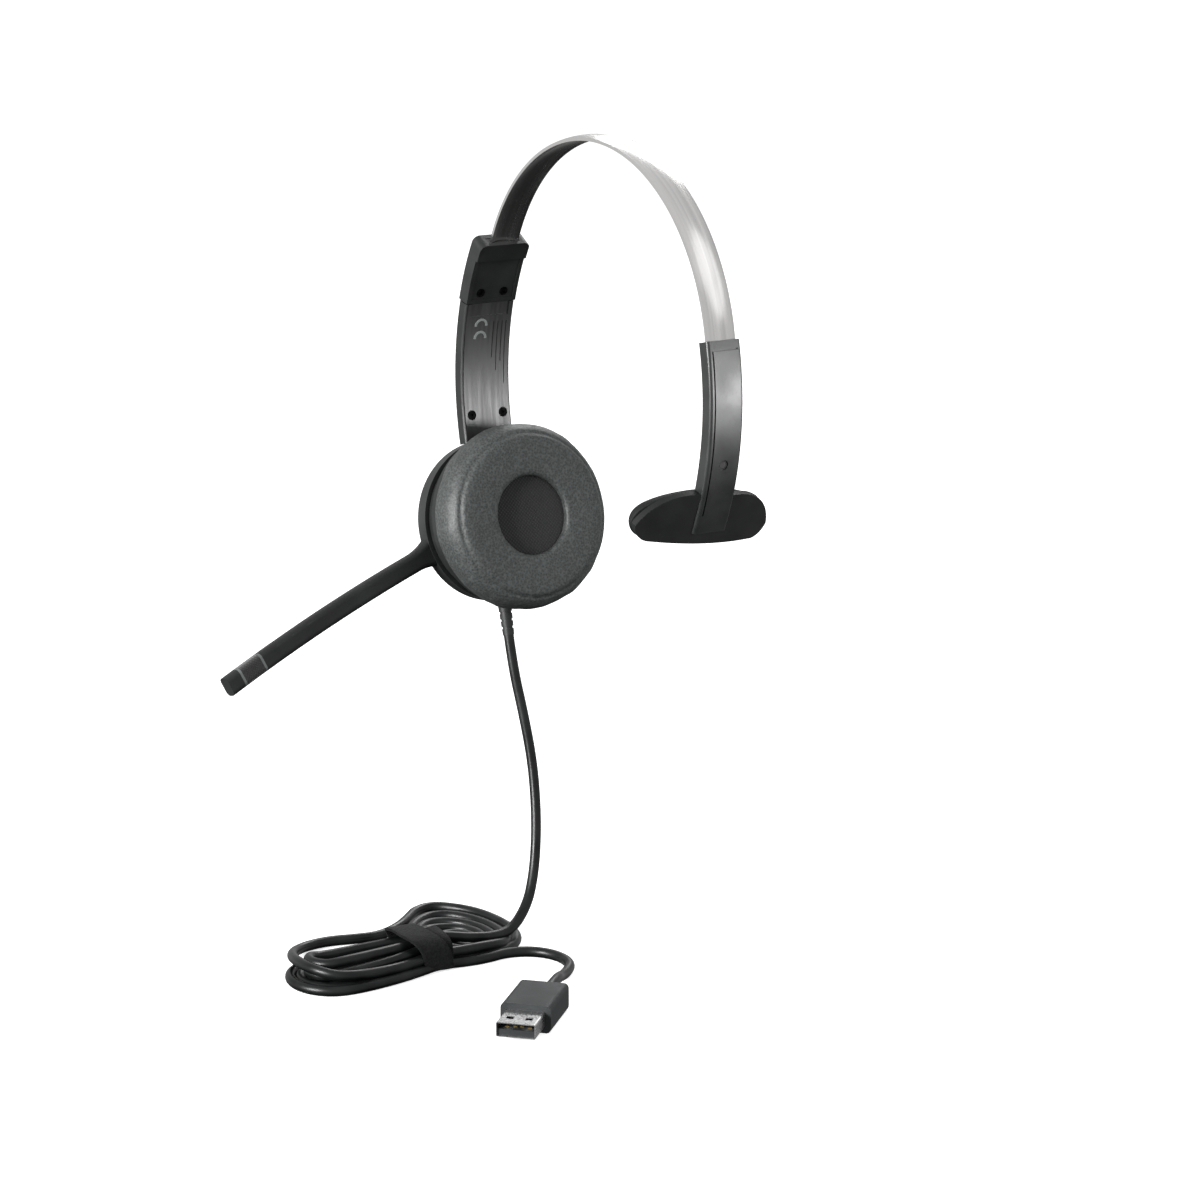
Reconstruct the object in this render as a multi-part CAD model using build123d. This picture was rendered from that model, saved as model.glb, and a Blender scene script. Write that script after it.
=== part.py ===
"""Single-ear office headset with a USB cord, as separate pieces (millimetres, +Z up).

The origin is the centre of the ear cushion's face.  +X runs across the head from the ear cushion
to the temple pad, -Y is the front, where the microphone boom reaches, and +Z is up.
The ear cup hangs tilted by CUP_TILT, so its pieces are made about their own axis and then turned.
"""
import os
from math import atan2, cos, degrees, pi, radians, sin, sqrt, tan

from build123d import *

# ---------------------------------------------------------------- driving dimensions
CUP_TILT = 14.0            # the cushion's face looks up by this much at rest

CUSHION_R = 30.0
CUSHION_DEPTH = 14.4
CUSHION_HOLE_R = 12.0
SCRIM_DEPTH = 3.1          # the cloth screen sits this far inside the cushion's hole
SCRIM_T = 0.7
RING_R = 27.5              # cushion mounting ring
RING_T = 2.6
HOUSING_R = 24.6
HOUSING_BACK = 23.8        # depth of the housing's back face behind the cushion's face
WALL = 1.5
HUB_R = 12.0
HUB_END = 29.0
RUN_CLEAR = 0.05           # radial clearance of a shaft in its hole

TURRET_R = 25.8            # rotating ring that carries the boom
TURRET_FRONT = 24.4
TURRET_BACK = 30.6
CAP_R = 18.0

BOOM_ROOT = (-22.6, -7.2)  # centre line of the boom in the cup's own (Y, Z)
BOOM_TIP = (-100.9, -39.8)
BOOM_BOW = 1.2
BOOM_W = 6.2
BOOM_T = 5.0
BOOM_FRONT = 24.7

ARM_CENTRE = (55.5, 40.0)  # centre of the left arm's arc, in (X, Z)
ARM_R_OUT = 89.2
ARM_T = 4.8
ARM_W = 18.0
ARM_PARTING = 16.5         # degrees above the arc's horizontal, where the slider opens
ARM_TOP = 31.3
TONGUE_T = 1.6
TONGUE_W = 11.0

BAND_CENTRE = (39.2, 59.5)
BAND_R = 62.3              # radius of the strip's edges, outer face
BAND_W = 10.0
BAND_T = 1.0
BAND_CROWN = 0.8
BAND_START = 9.0           # angle where the strip reaches the pad arm
BAND_END = 150.0           # angle where the strip reaches the slider housing

PAD_ARM_CENTRE = (13.7, 50.0)
PAD_ARM_R_OUT = 90.4
PAD_ARM_T = 4.8
PAD_ARM_W = 11.7
PAD_ARM_TOP = 12.4
PLATE_ANGLE = -22.4        # where the cross plate sits on the pad arm's arc
PLATE_ROLL = 6.5           # the cross plate hangs lower behind than in front by this angle
PLATE_LENGTH = 49.2
PLATE_LOW, PLATE_MIDDLE, PLATE_HIGH = -8.8, -3.7, 8.8
PLATE_BEND_R = 90.0
PLATE_SINK = 0.8           # its outer face lies this far inside the arm's
PLATE_T = 2.0
PAD_T = 4.2

CORD_R = 1.65
FLOOR = -134.0             # the coiled cord and the plug lie at this height

PLUG_REAR = (70.0, -41.1)  # centre of the plug's rear face
PLUG_YAW = -47.5
PLUG_L, PLUG_W, PLUG_H = 22.0, 15.5, 8.5
SHELL_L, SHELL_W, SHELL_H, SHELL_WALL = 11.0, 12.0, 4.5, 0.3

TILT_PIN = (-21.0, 20.0)   # in the cup's own (X, Z)
TILT_PIN_R = 1.0

RELIEF_DEPTH = 20.4        # cord grommet, in the cup's own frame
RELIEF_Y = -3.2
RELIEF_END = -37.0
SCREW_ANGLES, SCREW_R = (40, 160, 280), 20.4
TAB_ANGLES = (60, 180, 300)

ARM_END_R = 26.7           # the arm stops this far from the cup's axis
CHANNEL = (85.7, 87.95)    # inner and outer radius of the slider's channel in the arm
CHANNEL_W = 11.6
TONGUE_LOW = -5.5
BRACKET_R = (85.75, 87.05)
BRACKET_TOP = -6.6
ARM_SCREW_RISE, ARM_SCREW_Y = -8.2, 5.8
HOUSING_SCREW_RISE = 18.9
PAD_ARM_LOW = -25.0
RIVET_ANGLE = -10.9

MESH_START, MESH_END = 5.6, 13.2   # the microphone's mesh sleeve, from the boom's tip
MESH_BAND = 0.8
HANK_H = 9.2
HANK_GAP = 0.4             # the heap's underside clears the floor between the lowest strands
TIE_CENTRE, TIE_W, TIE_H, TIE_L = (16.8, -51.0), 20.6, 10.4, 10.0
NECK_L = 5.0

PARTS = {}


# ---------------------------------------------------------------- helpers
def keep(name, shape):
    """Record one sub-part under its node name."""
    shape.label = name
    PARTS[name] = shape


def in_cup(shape):
    """Turn a piece made about the cup's own X axis into the tilted rest position."""
    return Rot(0, -CUP_TILT, 0) * shape


def turned(profile):
    """Solid of revolution about X from (depth behind the cushion's face, radius) points."""
    points = [(-depth, radius) for depth, radius in profile]
    return revolve(make_face(Polyline(*points, close=True)), Axis.X)


def disc(depth_0, depth_1, radius, bore=0.0):
    return turned([(depth_0, bore), (depth_0, radius), (depth_1, radius), (depth_1, bore)])


def rod_x(depth_0, depth_1, radius, y, z):
    """Round bar along the cup's axis, away from the centre."""
    return Pos(0, y, z) * disc(depth_0, depth_1, radius)


def arc_block(centre, r_in, r_out, angle_0, angle_1, y_0, y_1):
    """Block bent about a Y-wise axis; angles are in degrees from +X towards +Z."""
    span = angle_1 - angle_0
    outer = CenterArc(centre, r_out, angle_0, span)
    inner = CenterArc(centre, r_in, angle_0, span)
    edges = [outer, inner, Line(outer @ 0, inner @ 0), Line(outer @ 1, inner @ 1)]
    face = Plane.XZ * make_face(Curve() + edges)
    return Pos(0, y_1, 0) * extrude(face, amount=y_1 - y_0)


def left_block(r_in, r_out, rise_0, rise_1, y_0, y_1):
    """Block of the left arm; rise is measured upwards from the arc's -X direction."""
    return arc_block(ARM_CENTRE, r_in, r_out, 180 - rise_1, 180 - rise_0, y_0, y_1)


def about(centre, angle):
    """Place on an arc: local X points out from the centre at this angle, local Y runs across."""
    return Pos(centre[0], 0, centre[1]) * Rot(0, -angle, 0)


def on_left(rise):
    return about(ARM_CENTRE, 180 - rise)


def left_bar(rise, y, radius, r_in, r_out):
    """Round bar through the left arm, square to its face."""
    return on_left(rise) * Pos((r_in + r_out) / 2, y, 0) * Rot(0, 90, 0) * Cylinder(radius, r_out - r_in)


def group(pieces):
    """Separate solids kept together as one sub-part, such as a set of screws."""
    return Part() + list(pieces)


def around_screws(shape):
    """Copies of a shape at the three screws that hold the cup together."""
    return [Rot(angle, 0, 0) * shape for angle in SCREW_ANGLES]


# ---------------------------------------------------------------- ear cup
def rims(shape, radius, depth):
    """Circular edges of this radius at this depth behind the cushion's face."""
    circles = shape.edges().filter_by(GeomType.CIRCLE)
    return [e for e in circles if abs(e.radius - radius) < 0.01 and abs(e.center().X + depth) < 0.1]


def ear_cushion():
    back = CUSHION_DEPTH
    ring = turned([(0, CUSHION_HOLE_R), (0, CUSHION_R), (back, CUSHION_R), (back, CUSHION_HOLE_R + 1),
                   (SCRIM_DEPTH, CUSHION_HOLE_R + 1), (SCRIM_DEPTH, CUSHION_HOLE_R)])
    for radius, depth, roundness in ((CUSHION_R, 0, 4.5), (CUSHION_R, back, 2.5), (CUSHION_HOLE_R, 0, 1.2)):
        ring = fillet(rims(ring, radius, depth), roundness)
    keep("ear_cushion", in_cup(ring))


def ear_scrim():
    keep("ear_scrim", in_cup(disc(SCRIM_DEPTH, SCRIM_DEPTH + SCRIM_T, CUSHION_HOLE_R + 0.9)))


def cushion_ring():
    front = CUSHION_DEPTH
    ring = disc(front, front + RING_T, RING_R, 13.5)
    tab = Pos(-front - RING_T - 0.6, 0, 21.8) * Box(1.2, 6, 1.6)
    tabs = [Rot(angle, 0, 0) * tab for angle in TAB_ANGLES]
    heads = around_screws(rod_x(front + RING_T - 1.1, front + 4, 2.1, 0, SCREW_R))
    keep("cushion_ring", in_cup(ring + tabs - heads))


def cup_housing():
    """Shallow drum behind the cushion, with the hub that the boom's ring turns on."""
    front = CUSHION_DEPTH + RING_T
    drum = disc(front, HOUSING_BACK, HOUSING_R) - disc(front, HOUSING_BACK - WALL, HOUSING_R - WALL)
    hub = disc(HOUSING_BACK - WALL, HUB_END, HUB_R, HUB_R - 2.5)
    shape = drum - disc(HOUSING_BACK - WALL, HOUSING_BACK, HUB_R - 2.5) + hub
    bosses = around_screws(rod_x(front + 1.4, HOUSING_BACK - WALL, 2.2, 0, SCREW_R))
    pilots = around_screws(rod_x(front, front + 4.6, 0.8, 0, SCREW_R))
    ears = [Pos(TILT_PIN[0], side * 5.7, TILT_PIN[1]) * Box(4.6, 2.4, 4.6) for side in (-1, 1)]
    shape = shape + bosses - pilots + ears
    shape -= Pos(-HOUSING_BACK + 1.4, 0, 21.4) * Box(6.4, 9.0, 9.6)
    shape -= Pos(TILT_PIN[0], 0, TILT_PIN[1]) * Rot(90, 0, 0) * Cylinder(TILT_PIN_R, 20)
    shape -= Pos(-RELIEF_DEPTH, RELIEF_Y, -HOUSING_R) * Cylinder(2.0, 8)
    # the drum is kept inside its own outline after the ears and bosses are added
    keep("cup_housing", in_cup(shape & disc(front, HUB_END, HOUSING_R)))


def tilt_pin():
    pin = Pos(TILT_PIN[0], 0, TILT_PIN[1]) * Rot(90, 0, 0) * Cylinder(TILT_PIN_R, 13.8)
    keep("tilt_pin", in_cup(pin))


def speaker_baffle():
    front = CUSHION_DEPTH + RING_T
    plate = disc(front, front + 1.4, HOUSING_R - WALL - 0.1)
    slots = [Rot(60 * i, 0, 0) * rod_x(front - 1, front + 3, 1.5, 0, 5.5) for i in range(6)]
    screws = around_screws(rod_x(front - 1, front + 3, 1.0, 0, SCREW_R))
    plate = plate - slots - screws - rod_x(front - 1, front + 3, 1.5, 0, 0)
    tab_seat = Pos(-front - 0.6, 0, 21.8) * Box(1.4, 6.2, 1.8)
    tab_seats = [Rot(angle, 0, 0) * tab_seat for angle in TAB_ANGLES]
    barrel_seat = Pos(-front - 1.4, 0, 22) * Box(2.4, 9, 6)
    keep("speaker_baffle", in_cup(plate - tab_seats - barrel_seat))


def baffle_screws():
    front = CUSHION_DEPTH + RING_T
    one = rod_x(front - 0.9, front, 1.7, 0, SCREW_R) + rod_x(front, front + 4.2, 0.75, 0, SCREW_R)
    one -= rod_x(front - 0.95, front - 0.5, 0.8, 0, SCREW_R)
    keep("baffle_screws", in_cup(group(around_screws(one))))


def speaker_driver():
    """Dynamic driver: frame, diaphragm with its coil, and magnet, one behind another."""
    face = CUSHION_DEPTH + RING_T + 1.4
    frame = turned([(face, 14.0), (face + 3.6, 14.0), (face + 3.6, 7.2), (face + 2.9, 7.2),
                    (face + 2.9, 13.0), (face + 0.6, 13.0), (face + 0.6, 12.4), (face, 12.4)])
    keep("speaker_frame", in_cup(frame))
    cone = turned([(face + 0.9, 0), (face + 1.1, 6.0), (face + 0.75, 12.9), (face + 0.9, 12.9),
                   (face + 1.25, 6.0), (face + 1.05, 0)])
    keep("speaker_diaphragm", in_cup(cone))
    keep("voice_coil", in_cup(disc(face + 1.3, face + 2.4, 6.4, 6.0)))
    keep("speaker_magnet", in_cup(disc(face + 1.6, face + 3.6, 5.8) + disc(face + 2.6, face + 3.6, 7.1)))


def cord_relief():
    """Tapered grommet where the cord leaves the bottom of the housing, with a flange inside it."""
    neck_top, shoulder = -HOUSING_R + 2.4, -HOUSING_R - 0.1
    profile = [(0, neck_top), (1.9, neck_top), (1.9, shoulder), (2.3, shoulder - 0.2),
               (1.85, RELIEF_END), (0, RELIEF_END)]
    body = revolve(Plane.XZ * make_face(Polyline(*profile, close=True)), Axis.Z)
    body += Pos(0, 0, neck_top + 0.4) * Box(3.6, 7.0, 0.8)
    grooves = [Pos(0, 0, RELIEF_END + 2.4 + 2.4 * i) * (Cylinder(4, 0.7) - Cylinder(1.62 + 0.11 * i, 0.7))
               for i in range(3)]
    keep("cord_relief", in_cup(Pos(-RELIEF_DEPTH, RELIEF_Y, 0) * (body - grooves)))


def outer_cap():
    spigot = disc(HUB_END - 2.2, HUB_END + 0.1, HUB_R - 2.6, HUB_R - 4.0)
    cap = disc(HUB_END + 0.1, TURRET_BACK, CAP_R) + spigot
    keep("outer_cap", in_cup(fillet(rims(cap, CAP_R, TURRET_BACK), 0.5)))


def audio_board():
    board = disc(24.6, 25.6, 8.6)
    chip = Pos(-26.1, 1.0, 1.5) * Box(1.0, 5.0, 5.0)
    crystal = Pos(-26.0, -4.4, 2.0) * Box(0.8, 1.6, 3.2)
    keep("audio_board", in_cup(board + chip + crystal))


# ---------------------------------------------------------------- boom
def boom_ring():
    """Ring that turns on the hub; a groove in its front face keeps it thin walled."""
    ring = disc(TURRET_FRONT, TURRET_BACK, TURRET_R) - disc(TURRET_FRONT, TURRET_BACK, HUB_R + RUN_CLEAR)
    ring -= disc(HUB_END - 0.1, TURRET_BACK, CAP_R + 0.25)
    ring = fillet(rims(ring, TURRET_R, TURRET_BACK), 2.0)
    ring -= disc(TURRET_FRONT, TURRET_FRONT + 3.2, TURRET_R - 2.2, HUB_R + 1.8)
    keep("boom_ring", in_cup(ring))
    return ring


def boom_outline():
    """Face of the whole boom in the cup's (Y, Z), slightly bowed upwards and flared at the ring."""
    (y0, z0), (y1, z1) = BOOM_ROOT, BOOM_TIP
    length = sqrt((y1 - y0) ** 2 + (z1 - z0) ** 2)
    angle = degrees(atan2(z1 - z0, y1 - y0))
    half = BOOM_W / 2
    flare, reach = 2.4, 9.0
    # drawn along +X from the root, with the bow towards -Y once it is turned
    upper = ThreePointArc((reach, -half - 0.3), (length / 2, -half - BOOM_BOW), (length, -half))
    lower = ThreePointArc((reach, half - 0.3), (length / 2, half - BOOM_BOW), (length, half))
    root_up = Spline((0, -half - flare), (reach, -half - 0.3), tangents=[(1, 0.6), (1, -0.03)])
    root_low = Spline((0, half + flare), (reach, half - 0.3), tangents=[(1, -0.6), (1, -0.03)])
    edges = [upper, lower, root_up, root_low, Line((length, -half), (length, half)),
             Line((0, -half - flare), (0, half + flare))]
    flat = make_face(Curve() + edges)
    return Plane.YZ * Pos(y0, z0, 0) * Rot(0, 0, angle) * flat, length, angle


def boom():
    ring = boom_ring()
    face, length, angle = boom_outline()
    bar = Pos(-BOOM_FRONT - BOOM_T, 0, 0) * extrude(face, amount=BOOM_T, dir=(1, 0, 0))
    lengthwise = [e for e in bar.edges() if e.length > 25]
    bar = fillet(lengthwise, 1.6)

    def stretch(start, end):
        """Part of the boom between two distances from its tip."""
        along = length - (start + end) / 2
        place = Plane.YZ * Pos(BOOM_ROOT[0], BOOM_ROOT[1], 0) * Rot(0, 0, angle) * Pos(along, 0, 0)
        return bar & (place * Box(end - start, 40, 90))

    arm = stretch(MESH_END + MESH_BAND, length + 5) - disc(0, 40, TURRET_R - 2.1) - ring
    capsule = Plane.YZ * Pos(BOOM_ROOT[0], BOOM_ROOT[1], 0) * Rot(0, 0, angle)
    capsule = capsule * Pos(length - (MESH_START + MESH_END) / 2, 0, 0)
    middle = Pos(-BOOM_FRONT - BOOM_T / 2, 0, 0)
    pocket = middle * (capsule * Rot(0, 90, 0) * Cylinder(1.55, 6.0))
    keep("boom_arm", in_cup(arm))
    keep("mic_mesh", in_cup(stretch(MESH_START, MESH_END) - pocket))
    bands = [stretch(MESH_END, MESH_END + MESH_BAND), stretch(MESH_START - MESH_BAND, MESH_START)]
    keep("mic_bands", in_cup(group(bands)))
    keep("mic_cap", in_cup(stretch(-3, MESH_START - MESH_BAND)))
    keep("mic_capsule", in_cup(middle * (capsule * Rot(0, 90, 0) * Cylinder(1.5, 5.6))))


# ---------------------------------------------------------------- lower arm
def lower_arm():
    r_out, r_in = ARM_R_OUT, ARM_R_OUT - ARM_T
    cover_t = 1.2
    half = ARM_W / 2
    low, high = -22.0, ARM_PARTING - 0.1
    swept = in_cup(disc(0, 60, ARM_END_R))
    block = left_block(r_in, r_out, low, high, -half, half)
    outer_corners = [e for e in block.edges() if e.length > 20 and abs(abs(e.center().Y) - half) < 0.01]
    block = fillet(outer_corners, 1.1)
    trough = left_block(r_in - 1, r_in + cover_t, low - 1, high + 1, 0.6 - half, half - 0.6)
    channel = left_block(CHANNEL[0], CHANNEL[1], low - 1, high + 1, -CHANNEL_W / 2, CHANNEL_W / 2)
    socket = left_block(CHANNEL[0], CHANNEL[1], low - 1, BRACKET_TOP + 0.4, -7.4, 7.4)
    spring_seat = left_block(CHANNEL[0], CHANNEL[1], 6.0, 15.0, 5.0, 6.9)
    screw_holes = [left_bar(ARM_SCREW_RISE, y, 0.85, r_in - 1, r_out - 0.9)
                   for y in (-ARM_SCREW_Y, ARM_SCREW_Y)]
    keep("arm_shell", block - trough - channel - socket - spring_seat - screw_holes - swept)

    cover = left_block(r_in, r_in + cover_t, low, high, 0.75 - half, half - 0.75) - swept
    wells = [left_bar(ARM_SCREW_RISE, y, 1.6, r_in - 1, r_in + 0.8) for y in (-ARM_SCREW_Y, ARM_SCREW_Y)]
    wells += [left_bar(ARM_SCREW_RISE, y, 0.9, r_in - 1, r_in + 3) for y in (-ARM_SCREW_Y, ARM_SCREW_Y)]
    recess = left_block(r_in - 1, r_in + 0.45, ARM_PARTING - 3.0, ARM_PARTING + 1, -7.0, 7.0)
    ribs = [left_block(r_in - 1, r_in + 0.2, low_end, 12.0, y - 0.25, y + 0.25)
            for y, low_end in ((1.9, 4.0), (3.5, 1.0), (5.1, 3.0), (6.5, -2.0))]
    arrows = slide_arrows(r_in)
    keep("arm_cover", cover - wells - recess - ribs - arrows)
    keep("slide_arrows", arrows)

    screw = left_bar(0, 0, 1.5, r_in + 0.1, r_in + 0.8) + left_bar(0, 0, 0.8, r_in + 0.8, r_out - 1.2)
    screw -= left_bar(0, 0, 0.6, r_in, r_in + 0.5)
    pair = [about(ARM_CENTRE, -ARM_SCREW_RISE) * Pos(-ARM_CENTRE[0], y, -ARM_CENTRE[1]) * screw
            for y in (-ARM_SCREW_Y, ARM_SCREW_Y)]
    keep("arm_screws", group(pair))
    spring = left_block(CHANNEL[0] + 0.3, CHANNEL[1] - 0.3, 7.0, 14.0, 6.3, 6.6)
    keep("detent_spring", spring)


def slide_arrows(face_r):
    """Two raised arches on the arm's inner face that show which way it slides."""
    arch = Circle(2.3) - Circle(1.55) & Pos(0, -1.6) * Rectangle(6, 3.6)
    bar = Pos(face_r - 0.25, -2.7, 0) * extrude(Plane.YZ * arch, amount=0.5)
    return group(on_left(rise) * bar for rise in (8.6, 11.4))


def tilt_bracket():
    """Steel tongue from inside the arm down to the pin that the ear cup hangs on."""
    blade = left_block(BRACKET_R[0], BRACKET_R[1], -22.0, BRACKET_TOP, -7.1, 7.1)
    blade &= in_cup(Pos(-22, 0, 34.5) * Box(30, 30, 14.0))
    stem = left_block(BRACKET_R[0], BRACKET_R[1], -22.0, -12.0, -3.7, 3.7)
    stem &= in_cup(Pos(-22, 0, 24.5) * Box(30, 30, 8.0))
    barrel = Pos(TILT_PIN[0], 0, TILT_PIN[1]) * Rot(90, 0, 0) * Cylinder(2.2, 7.4)
    shape = blade + stem + in_cup(barrel)
    bore = Pos(TILT_PIN[0], 0, TILT_PIN[1]) * Rot(90, 0, 0) * Cylinder(TILT_PIN_R + RUN_CLEAR, 20)
    holes = [left_bar(ARM_SCREW_RISE, y, 0.85, 80, 92) for y in (-ARM_SCREW_Y, ARM_SCREW_Y)]
    keep("tilt_bracket", shape - in_cup(bore) - holes)


# ---------------------------------------------------------------- headband
def slider_housing():
    r_out, r_in = ARM_R_OUT, ARM_R_OUT - ARM_T
    half = ARM_W / 2
    low, high = ARM_PARTING + 0.1, ARM_TOP
    lip = left_block(r_in - 0.8, r_in + 1, high - 4.2, high, -half, half)
    block = left_block(r_in, r_out, low, high, -half, half) + lip
    shoulders = [e for e in block.edges() if e.length < 6 and abs(abs(e.center().Y) - half) < 0.01]
    block = fillet([e for e in shoulders if e.center().Z > 84], 2.2)
    dish = on_left(high + 0.3) * Pos(r_out - 3.0, 0, 0) * Box(2.4, 11.4, 1.2)
    tongue_seat = left_block(CHANNEL[0] + 0.25, CHANNEL[1] - 0.35, low - 1, high - 3.0, -5.6, 5.6)
    panel = left_block(r_in - 2, r_in + 0.35, low + 0.9, high - 4.2, 1.3 - half, half - 1.3)
    screw_seats = [left_bar(HOUSING_SCREW_RISE, y, 1.5, r_in - 1, r_in + 0.9) for y in (-4.2, 4.2)]
    screw_seats += [left_bar(HOUSING_SCREW_RISE, y, 0.8, r_in - 1, r_out - 0.9) for y in (-4.2, 4.2)]
    strip_seat = band_strip_shape(0.04)
    keep("slider_housing", block - tongue_seat - panel - screw_seats - strip_seat - dish)

    screw = left_bar(0, 0, 1.4, r_in + 0.2, r_in + 0.9) + left_bar(0, 0, 0.75, r_in + 0.9, r_out - 1.2)
    screw -= left_bar(0, 0, 0.6, r_in, r_in + 0.6)
    pair = [about(ARM_CENTRE, -HOUSING_SCREW_RISE) * Pos(-ARM_CENTRE[0], y, -ARM_CENTRE[1]) * screw
            for y in (-4.2, 4.2)]
    keep("housing_screws", group(pair))

    tongue = left_block(CHANNEL[0] + 0.3, CHANNEL[0] + 0.3 + TONGUE_T, TONGUE_LOW, high - 3.5,
                        -TONGUE_W / 2, TONGUE_W / 2)
    holes = [left_bar(HOUSING_SCREW_RISE, y, 0.85, 80, 92) for y in (-4.2, 4.2)]
    keep("slide_tongue", tongue - holes - band_strip_shape(0.04))


def strip_section(radius, grow):
    """Crowned cross-section of the steel strip at this radius, in (radial, across)."""
    half = BAND_W / 2 + grow
    outer, inner = radius + grow, radius - BAND_T - grow
    edges = [ThreePointArc((outer, -half), (outer + BAND_CROWN, 0), (outer, half)),
             ThreePointArc((inner, -half), (inner + BAND_CROWN, 0), (inner, half)),
             Line((outer, -half), (inner, -half)), Line((outer, half), (inner, half))]
    return make_face(Curve() + edges)


def strip_arc(centre, radius, angle_0, angle_1, grow):
    here = Pos(centre[0], 0, centre[1])
    axis = Axis((centre[0], 0, centre[1]), (0, -1, 0))
    swept = revolve(here * strip_section(radius, grow), axis, angle_1 - angle_0)
    return swept.rotate(axis, angle_0)


def tail_centre(angle, radius):
    """Centre of an arc of this radius that continues the strip smoothly at the angle."""
    step = radius - BAND_R
    return (BAND_CENTRE[0] - step * cos(radians(angle)), BAND_CENTRE[1] - step * sin(radians(angle)))


def band_strip_shape(grow=0.0):
    right_r, left_r = 110.0, 70.0
    strip = strip_arc(BAND_CENTRE, BAND_R, BAND_START, BAND_END, grow)
    right = strip_arc(tail_centre(BAND_START, right_r), right_r, BAND_START - 19.0, BAND_START, grow)
    left = strip_arc(tail_centre(BAND_END, left_r), left_r, BAND_END, BAND_END + 7.5, grow)
    return strip + right + left


def band_strip():
    rivet = about(PAD_ARM_CENTRE, RIVET_ANGLE) * Pos(PAD_ARM_R_OUT - 2, 0, 0)
    rivet_hole = rivet * Rot(0, 90, 0) * Cylinder(1.1, 12)
    keep("band_strip", band_strip_shape() - rivet_hole)


def pad_arm():
    """Right-hand arm: outer shell with the strip inside it, and an inner cover."""
    r_out, r_in = PAD_ARM_R_OUT, PAD_ARM_R_OUT - PAD_ARM_T
    half = PAD_ARM_W / 2
    split = r_in + 1.3
    block = arc_block(PAD_ARM_CENTRE, r_in, r_out, PAD_ARM_LOW, PAD_ARM_TOP, -half, half)
    block = fillet([e for e in block.edges() if e.length > 20], 1.0)
    seat = band_strip_shape(0.04)
    rivet = about(PAD_ARM_CENTRE, RIVET_ANGLE) * Rot(0, 90, 0)
    rivet_bore = rivet * Pos(0, 0, r_out - 2) * Cylinder(1.05, 12)
    low, high = PAD_ARM_LOW - 1, PAD_ARM_TOP + 1
    cutter = arc_block(PAD_ARM_CENTRE, r_in - 1, split, low, high, -half - 1, half + 1)
    dimple = rivet * Pos(0, 0, r_out) * Cylinder(1.6, 0.8)
    # a shallow groove follows the front edge and the top of the outer face
    edge, lip = 1.9 - half, PAD_ARM_TOP - 1.6
    groove = arc_block(PAD_ARM_CENTRE, r_out - 0.4, r_out + 1, PAD_ARM_LOW + 4, lip, edge - 0.5, edge)
    groove += arc_block(PAD_ARM_CENTRE, r_out - 0.4, r_out + 1, lip - 0.35, lip, edge - 0.5, half - 1.2)
    keep("pad_arm_shell", block - cutter - seat - rivet_bore - dimple - groove)
    keep("pad_arm_cover", (block & cutter) - seat - rivet_bore)
    pin = rivet * Pos(0, 0, r_out - 0.4 - (PAD_ARM_T - 0.8) / 2) * Cylinder(1.0, PAD_ARM_T - 0.8)
    keep("band_rivet", pin)


def plate_outline(grow):
    """Outline of the cross plate in its own (Y, Z): flat below and domed above."""
    end, low, middle, high = PLATE_LENGTH / 2 + grow, PLATE_LOW - grow, PLATE_MIDDLE, PLATE_HIGH + grow
    edges = [Line((-end + 6, low), (end - 6, low)), Line((-6.5, high), (6.5, high))]
    for side in (-1, 1):
        tip = (side * end, middle)
        edges.append(ThreePointArc((side * (end - 6), low), (side * (end - 1.6), low + 1.5), tip))
        edges.append(ThreePointArc(tip, (side * (end - 5.1), middle + 7.8), (side * 6.5, high)))
    return make_face(Curve() + edges)


def bent_slab(grow, depth_0, depth_1):
    """The outline between two depths, bent round an upright axis on the head's side."""
    block = extrude(Plane.YZ * plate_outline(grow), amount=30, both=True)
    shell = Cylinder(PLATE_BEND_R - depth_0, 60) - Cylinder(PLATE_BEND_R - depth_1, 60)
    return block & (Pos(-PLATE_BEND_R, 0, 0) * shell)


def temple_plate_and_pad():
    """Cross plate at the pad arm's end and the soft pad on its inner side, bent round the temple."""
    place = about(PAD_ARM_CENTRE, PLATE_ANGLE) * Pos(PAD_ARM_R_OUT - PLATE_SINK, 0, 0)
    place = place * Rot(-PLATE_ROLL, 0, 0)
    plate = bent_slab(-0.5, 0, PLATE_T)
    pad = bent_slab(0.0, PLATE_T, PLATE_T + PAD_T)
    arm = PARTS["pad_arm_shell"] + PARTS["pad_arm_cover"] + band_strip_shape(0.02)
    keep("temple_plate", place * plate - arm)
    keep("temple_pad", place * pad - arm)


# ---------------------------------------------------------------- cord and plug
def in_world(x, y, z):
    """Point given in the cup's own frame, as (X, Y, Z) of the whole headset."""
    t = radians(CUP_TILT)
    return (x * cos(t) - z * sin(t), y, x * sin(t) + z * cos(t))


def drop_route():
    """The hanging stretch, from the grommet down to the hank."""
    lie = FLOOR + CORD_R
    hanging = [(-20.4, RELIEF_Y, RELIEF_END), (-20.4, RELIEF_Y, -48.0), (-20.3, -1.8, -62.0),
               (-19.9, -1.0, -78.5), (-19.4, -2.4, -94.0), (-18.7, -4.9, -106.0), (-18.4, -7.6, -115.0)]
    return [in_world(*p) for p in hanging] + [(12.6, -11.4, lie + 9.2), (17.0, -19.5, lie + 3.6)]


def tail_route():
    """The short stretch on the floor, from the hank round to the plug."""
    lie = FLOOR + CORD_R
    lying = [(25.8, -27.5), (29.4, -19.6), (37.0, -15.4), (46.0, -16.2), (52.2, -22.2)]
    rising = [(56.0, -26.8, lie + 0.9), plug_point(NECK_L + 9.0), plug_point(NECK_L)]
    return [(x, y, lie) for x, y in lying] + rising


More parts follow.
